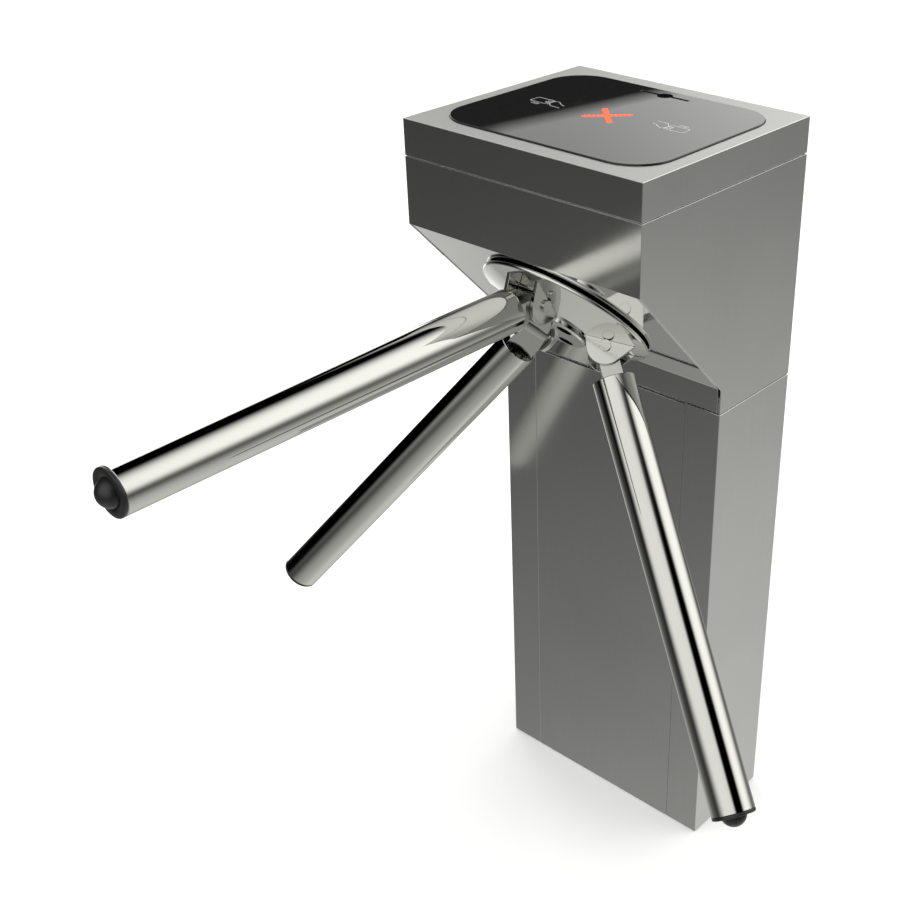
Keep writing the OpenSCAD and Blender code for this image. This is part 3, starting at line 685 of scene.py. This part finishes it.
class OBJECT_OT_turnstile_casing(bpy.types.Operator):
    """Gives the casing's sheets their ground finish and eased edges"""

    bl_idname = "object.turnstile_casing"
    bl_label = "Casing"

    def execute(self, context):
        s = context.scene.turnstile_casing
        upright = polished_sheet("ground_steel_upright", s.steel, s.gloss)
        satin = satin_sheet("satin_steel_lid", s.steel, s.top_gloss)
        slope = mirror_steel("mirror_steel_slope", s.steel, s.slope_gloss)
        eased_copy("lid_cover", s.edge, upright, "casing_steel", top=satin)
        eased_copy("head_casing", s.head_edge, upright, "casing_steel")
        eased_copy("pedestal_casing", s.edge, upright, "casing_steel")
        panel = ((ACROSS, -1, -s.seam), (ACROSS, 1, s.seam), (UP, 1, -s.shadow_gap))
        eased_copy("front_panel", s.panel_edge, upright, "casing_steel", shift=panel)
        eased_copy("slope_plate", s.edge, slope, "slope_steel", shift=((ACROSS, 1, -s.shadow_gap),))
        return {"FINISHED"}


def ribbon(work, points, width, height):
    """A flat printed line through 2D points, as a strip of quads."""
    path = [Vector((x, y, height)) for x, y in points]
    sides = []
    for k, here in enumerate(path):
        ahead = (path[min(k + 1, len(path) - 1)] - path[max(k - 1, 0)]).normalized()
        across = Vector((-ahead.y, ahead.x, 0)) * width / 2
        sides.append((work.verts.new(here - across), work.verts.new(here + across)))
    for (a, b), (c, d) in zip(sides, sides[1:]):
        work.faces.new((a, c, d, b))


def rounded_path(corners, radius, closed=False, steps=5):
    """Straight lines with rounded corners, as points."""
    count = len(corners)
    points = []
    for k in range(count):
        here = Vector(corners[k])
        if not closed and k in (0, count - 1):
            points.append(here)
            continue
        before, after = Vector(corners[k - 1]), Vector(corners[(k + 1) % count])
        cut = min(radius, (here - before).length * 0.45, (after - here).length * 0.45)
        start, end = here + (before - here).normalized() * cut, here + (after - here).normalized() * cut
        for step in range(steps + 1):
            t = step / steps
            points.append(start.lerp(here, t).lerp(here.lerp(end, t), t))
    if closed:
        points.append(points[0])
    return [(p[0], p[1]) for p in points]


# A hand holding a card to a reader, in millimetres, 48 long
CARD = ((-22, -8), (4, -8), (4, 8), (-22, 8))
HAND_LINES = (
    ((-2, -3), (5, -3), (10, -10), (18, -11), (26, -11)),
    ((4, 3), (8, 8), (13, 6), (18, 1), (26, -2)),
    ((-2, -3), (-3.4, -1), (-1.6, 1), (5, 0.6)),
    ((-1.6, 1), (-2.6, 3), (-0.6, 4.6), (6, 4.2)),
)
# Radii of the two waves, half their arc in degrees, and where they spring from along the card
WAVE_REACH = (12, 15)
WAVE_SPREAD = 24
WAVE_CENTRE = -9


def pictogram(work, centre, turn, line, height):
    """A generic mark: a hand holding a card to a reader, with two waves."""
    turned = Matrix.Rotation(turn, 2)

    def put(points):
        return [tuple(Vector(centre) + turned @ (Vector(p) * MM)) for p in points]

    ribbon(work, put(rounded_path(CARD, 2.5, closed=True)), line, height)
    for corners in HAND_LINES:
        ribbon(work, put(rounded_path(corners, 3.0)), line, height)
    turns = [math.radians(WAVE_SPREAD) * (k / 5 - 1) for k in range(11)]
    for reach in WAVE_REACH:
        arc = [(WAVE_CENTRE + reach * math.sin(a), -reach * math.cos(a)) for a in turns]
        ribbon(work, put(arc), line, height)


# Middle of each mark on the glass in metres, and its turn
MARKS = ((-0.087, -0.0835, 0.0), (0.083, -0.0725, math.pi))
# Height of the ink over the glass
INK = 0.00006


class OBJECT_OT_turnstile_reader(bpy.types.Operator):
    """Makes the reader's glass, its printed marks and the lit cross"""

    bl_idname = "object.turnstile_reader"
    bl_label = "Reader panel"

    def execute(self, context):
        s = context.scene.turnstile_reader
        glass = smoked_glass("smoked_glass", s.glass)
        eased_copy("reader_glass", s.edge, glass, "smoked_glass", 3)
        low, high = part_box("cross_light")
        centre = (low + high) / 2
        top = high.z
        work = bmesh.new()
        for x, y, turn in MARKS:
            pictogram(work, (x, y), turn, s.line, top + INK)
        marks = as_mesh(work, "reader_marks")
        # The printed marks' white ink carries a faint painted glow
        add_piece("reader_marks", marks, "root", "smoked_glass", printed("white_ink_painted_glow"))
        dark_red = glowing("lamp_red_body", tint(s.lamp, 0.55), s.lamp_power * 0.3)
        frame["nodes"]["cross_light"].data.materials.clear()
        frame["nodes"]["cross_light"].data.materials.append(dark_red)
        red = glowing("lamp_red_dots", s.lamp, s.lamp_power)
        dots = dot_tree().build(
            "lamp_dots", Pitch=s.dot_pitch, Across=s.dot_pitch * (s.dots - 1), Count=s.dots,
            Stroke=s.dot_pitch * 1.2, Finish=red,
        )
        placed(dots, Matrix.Translation((centre.x, centre.y, top)))
        add_piece("lamp_dots", dots, "root", "lamp_red", red)
        return {"FINISHED"}


class OBJECT_OT_turnstile_hub(bpy.types.Operator):
    """Polishes the hub, its lugs, pins and screws"""

    bl_idname = "object.turnstile_hub"
    bl_label = "Hub"

    def execute(self, context):
        s = context.scene.turnstile_hub
        chrome = mirror_steel("polished_chrome", s.chrome, s.gloss)
        ground = mirror_steel("ground_lugs", tint(s.chrome, 0.82), s.lug_gloss)
        black = coated("black_oxide", (0.03, 0.03, 0.032), 0.8, 0.38)
        eased_copy("hub_disc", s.edge * 0.8, chrome, "hub_chrome", 3)
        eased_copy("arm_lugs", s.edge, ground, "hub_chrome", 3)
        eased_copy("arm_pins", s.edge * 1.2, ground, "hub_chrome", 3)
        eased_copy("hub_screws", s.screw_edge, black, "screw_black")
        return {"FINISHED"}


# End cap in metres: thickness of its flange, rise and half width of its dome, depth of its plug
RIM, DOME, DOME_HALF, PLUG = 0.004, 0.012, 0.015, 0.018
# Play of the plug in the tube, and the steps that draw the dome
PLUG_PLAY = 0.0002
DOME_STEPS = 14


def cap_profile(radius, bore):
    """(radius, height) points of an end cap: plug, flange with broken edges, groove and dome."""
    ball = (DOME_HALF**2 + DOME**2) / (2 * DOME)
    reach = math.asin((DOME_HALF + 0.0002) / ball)
    turns = [reach * (1 - k / DOME_STEPS) for k in range(DOME_STEPS)]
    top = RIM + DOME
    return [
        (0.0, -PLUG), (bore, -PLUG), (bore, 0.0),
        (radius - 0.0006, 0.0), (radius, 0.0006), (radius, RIM - 0.0012),
        (radius - 0.0004, RIM - 0.0004), (radius - 0.0012, RIM),
        (DOME_HALF + 0.0016, RIM), (DOME_HALF + 0.0008, RIM - 0.0005),
        *((ball * math.sin(turn), top - ball + ball * math.cos(turn)) for turn in turns),
        (0.0, top),
    ]


# Corners sharper than this many degrees stay sharp, which keeps the lips out of the tube wall's shading
TUBE_SMOOTH = 15


class OBJECT_OT_turnstile_arms(bpy.types.Operator):
    """Makes the three polished tubes with their fittings and end caps"""

    bl_idname = "object.turnstile_arms"
    bl_label = "Arms"

    def execute(self, context):
        s = context.scene.turnstile_arms
        tube = mirror_steel("polished_tube", s.steel, s.gloss)
        fitting = mirror_steel("polished_fitting", tint(s.steel, 0.8), 0.12)
        plastic = moulded("black_cap_plastic", s.plastic, 0.32)
        maker = tube_tree()
        for i in (1, 2, 3):
            at = arm_matrix(i, s.tilt)
            mesh = maker.build(
                f"arm_{i}_polished_tube",
                Radius=s.radius, Wall=s.wall, Start=s.start, End=s.end, Steps=144, Finish=tube,
            )
            work = bmesh.new()
            work.from_mesh(mesh)
            bmesh.ops.recalc_face_normals(work, faces=work.faces)
            mesh = placed(as_mesh(work, f"arm_{i}_polished_tube", TUBE_SMOOTH), at)
            piece = add_piece(f"arm_{i}_polished_tube", mesh, f"arm_{i}", "arm_steel", tube)
            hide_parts(f"arm_{i}_tube")
            eased_copy(f"arm_{i}_root", s.root_edge, fitting, "arm_fitting", 3)
            profile = cap_profile(s.radius, s.radius - s.wall - PLUG_PLAY)
            cap = as_mesh(lathe(profile, at @ Matrix.Translation((0, 0, s.end))), f"arm_{i}_end_cap", 50)
            piece = add_piece(f"arm_{i}_end_cap", cap, f"arm_{i}", "cap_plastic", plastic)
            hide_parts(f"arm_{i}_cap")
        return {"FINISHED"}


class OBJECT_OT_turnstile_inside(bpy.types.Operator):
    """Gives the inner pieces their finishes"""

    bl_idname = "object.turnstile_inside"
    bl_label = "Inner pieces"

    def execute(self, context):
        rubber = moulded("black_rubber", (0.02, 0.02, 0.02), 0.6, 500)
        board = circuit_mask("circuit_board")
        zinc = coated("zinc_sheet", (0.55, 0.56, 0.57), 0.85, 0.42)
        paint = moulded("grey_box", (0.3, 0.31, 0.32), 0.5)
        casting = coated("dark_casting", (0.14, 0.145, 0.15), 0.7, 0.45)
        ground = mirror_steel("ground_bar", (0.55, 0.55, 0.54), 0.2, 0.08)
        yellow = coated("yellow_metal", (0.62, 0.46, 0.2), 1.0, 0.32, 0.06)
        wrap = moulded("coil_wrap", (0.18, 0.07, 0.03), 0.55, 300)
        orange = moulded("orange_flap", (0.6, 0.22, 0.03), 0.4)
        finishes = {
            rubber: ("glass_gasket", "cable_grommet"),
            board: ("display_board", "entry_reader_board", "exit_reader_board", "control_board",
                    "encoder_sensor"),
            zinc: ("lid_tray", "card_chute", "card_bin", "neck_frame", "front_mech_plate", "rear_mech_plate",
                   "plate_posts", "index_block", "base_plate"),
            paint: ("power_supply", "flap_servo"),
            casting: ("front_housing", "rear_housing", "damper", "encoder_disc"),
            ground: ("front_bearing", "rear_bearing", "spindle", "pawl_pivots", "index_spring", "lock_wheel",
                     "entry_plunger", "exit_plunger"),
            yellow: ("index_wheel", "spindle_gear", "damper_pinion", "entry_pawl", "exit_pawl"),
            wrap: ("entry_solenoid", "exit_solenoid"),
            orange: ("card_flap",),
        }
        for finish, nodes in finishes.items():
            for node in nodes:
                slots = frame["nodes"][node].data.materials
                slots.clear()
                slots.append(finish)
        return {"FINISHED"}


# ---- Stage --------------------------------------------------------------


def edge_plane(left, right):
    """Normal of the plane through the eye and two directions, pointing up."""
    normal = Vector(toward(*right)).cross(Vector(toward(*left))).normalized()
    return tuple(normal * math.copysign(1, normal.z))


# Zones of the studio: azimuth and elevation of the middle, then the outer and inner reach, in degrees
RIGHT_WALL = (38, 22, 52, 15)
FRONT_WALL = (178, 32, 68, 15)
SIDE_FLOOR = (33, -55, 50, 5)
DARK_LEFT = (-112, 2, 40, 20)
DARK_RIGHT = (106, 34, 26, 13)
DIM_FLOOR = (-130, 0, 62, 15)
# The window's left and right edges with their softness, its fades at the foot and at the head
WINDOW_LEFT, WINDOW_RIGHT = (-75, 5), (-51.5, 1)
WINDOW_FOOT, WINDOW_HEAD = (-50, -14), (51, 59)
# The back card: its sides, its head, the slanted lower edge, and where it brightens to the right
CARD_LEFT, CARD_RIGHT, CARD_HEAD = (-44, 2), (-3, 20), (34, 46)
CARD_EDGE = edge_plane((-43.8, 16.6), (-36.5, 15.1))
CARD_BRIGHTENS = (-36, 14)


def studio_surroundings(tone):
    """Bright walls with dark gaps between them, over a grey floor; plain white to the eye."""
    sky = Surroundings("studio")
    horizon = sky.above(-20, 18)
    floor = (sky.along((0, 0, -0.62)) - 0.02) * (1 - sky.above(-12, 4)) * (1 - sky.zone(*DIM_FLOOR) * 0.62)
    side_floor = sky.zone(*SIDE_FLOOR) * 0.2
    right_wall = sky.zone(*RIGHT_WALL) * 1.45
    front_wall = sky.zone(*FRONT_WALL) * 1.1 * (1 - sky.zone(*DARK_LEFT))
    walls = (right_wall + front_wall) * horizon * (1 - sky.zone(*DARK_RIGHT))
    window = sky.right_of(*WINDOW_LEFT) * (1 - sky.right_of(*WINDOW_RIGHT))
    window = window * sky.above(*WINDOW_FOOT) * (1 - sky.above(*WINDOW_HEAD)) * 1.7
    card = sky.right_of(*CARD_LEFT) * (1 - sky.right_of(*CARD_RIGHT)) * (1 - sky.above(*CARD_HEAD))
    card = card * sky.ramp(sky.along(CARD_EDGE), -0.004, 0.004) * (sky.right_of(*CARD_BRIGHTENS) * 0.7 + 0.85)
    total = floor + side_floor + walls + window + card
    sight = sky.node("ShaderNodeLightPath").outputs["Is Camera Ray"]
    sky.feed(Color=(*tone, 1), Strength=Wire(sky, sight) + (1 - Wire(sky, sight)) * total)
    return sky.world


CEILING_HEIGHT, CEILING_SIZE = 6.0, 12.0
FLOOR_HALF = 9.0


def ceiling_light(height, size, radiance):
    """A soft light overhead, which lights the floor and isn't mirrored."""
    data = bpy.data.lights.new("ceiling", "AREA")
    data.shape, data.size = "SQUARE", size
    data.energy = radiance * math.pi * size * size
    light = bpy.data.objects.new("ceiling", data)
    light.location = (0, 0, height)
    light.visible_camera = light.visible_glossy = False
    bpy.context.scene.collection.objects.link(light)


class OBJECT_OT_turnstile_stage(bpy.types.Operator):
    """Sets the pale floor, the soft lights and the camera"""

    bl_idname = "object.turnstile_stage"
    bl_label = "Stage"

    def execute(self, context):
        s = context.scene.turnstile_stage
        scene = context.scene
        work = bmesh.new()
        bmesh.ops.create_grid(work, x_segments=8, y_segments=8, size=FLOOR_HALF)
        floor = bpy.data.objects.new("floor", as_mesh(work, "floor"))
        scene.collection.objects.link(floor)
        paper = Finish("floor_paper", s.floor, 0.0, 0.8)
        paper.shade(paper.noise(3, detail=4.0), tint(s.floor, 0.985), s.floor)
        floor.data.materials.append(paper.material)
        floor.visible_glossy = False
        scene.world = studio_surroundings(s.tone)
        ceiling_light(CEILING_HEIGHT, CEILING_SIZE, s.light)

        camera = bpy.data.objects.new("camera", bpy.data.cameras.new("camera"))
        scene.collection.objects.link(camera)
        camera.data.lens = s.lens
        camera.data.shift_x, camera.data.shift_y = s.shift
        camera.data.clip_start = 0.05
        level = math.cos(s.elevation)
        back = Vector((math.sin(s.azimuth) * level, -math.cos(s.azimuth) * level, math.sin(s.elevation)))
        right = Z_AXIS.cross(back).normalized()
        up = back.cross(right)
        rolled = math.cos(s.roll) * right + math.sin(s.roll) * up
        camera.matrix_world = frame_matrix(Vector(s.place), rolled, back.cross(rolled), back)
        scene.camera = camera
        scene.view_settings.view_transform = "Standard"
        return {"FINISHED"}


class VIEW3D_PT_turnstile(bpy.types.Panel):
    """Lists the turnstile's sizes and its makers"""

    bl_label = "Turnstile"
    bl_idname = "VIEW3D_PT_turnstile"
    bl_space_type = "VIEW_3D"
    bl_region_type = "UI"
    bl_category = "Turnstile"

    def draw(self, context):
        for group, operator in PANEL_ROWS:
            box = self.layout.box()
            box.operator(operator.bl_idname)
            if group:
                settings = getattr(context.scene, group)
                for key in settings.__annotations__:
                    box.prop(settings, key)


SETTINGS = {
    "turnstile_casing": CasingSettings,
    "turnstile_reader": ReaderSettings,
    "turnstile_hub": HubSettings,
    "turnstile_arms": ArmSettings,
    "turnstile_stage": StageSettings,
}
PANEL_ROWS = (
    ("turnstile_stage", OBJECT_OT_turnstile_stage),
    ("turnstile_casing", OBJECT_OT_turnstile_casing),
    ("turnstile_reader", OBJECT_OT_turnstile_reader),
    ("turnstile_hub", OBJECT_OT_turnstile_hub),
    ("turnstile_arms", OBJECT_OT_turnstile_arms),
    (None, OBJECT_OT_turnstile_inside),
)
CLASSES = (*SETTINGS.values(), *(operator for _, operator in PANEL_ROWS), VIEW3D_PT_turnstile)


def register():
    for cls in CLASSES:
        bpy.utils.register_class(cls)
    for name, group in SETTINGS.items():
        setattr(bpy.types.Scene, name, bpy.props.PointerProperty(type=group))


def unregister():
    for name in SETTINGS:
        delattr(bpy.types.Scene, name)
    for cls in reversed(CLASSES):
        bpy.utils.unregister_class(cls)


def main():
    register()
    bpy.ops.object.turnstile_stage()
    bpy.ops.object.turnstile_casing()
    bpy.ops.object.turnstile_reader()
    bpy.ops.object.turnstile_hub()
    bpy.ops.object.turnstile_arms()
    bpy.ops.object.turnstile_inside()


if __name__ == "__main__":
    main()
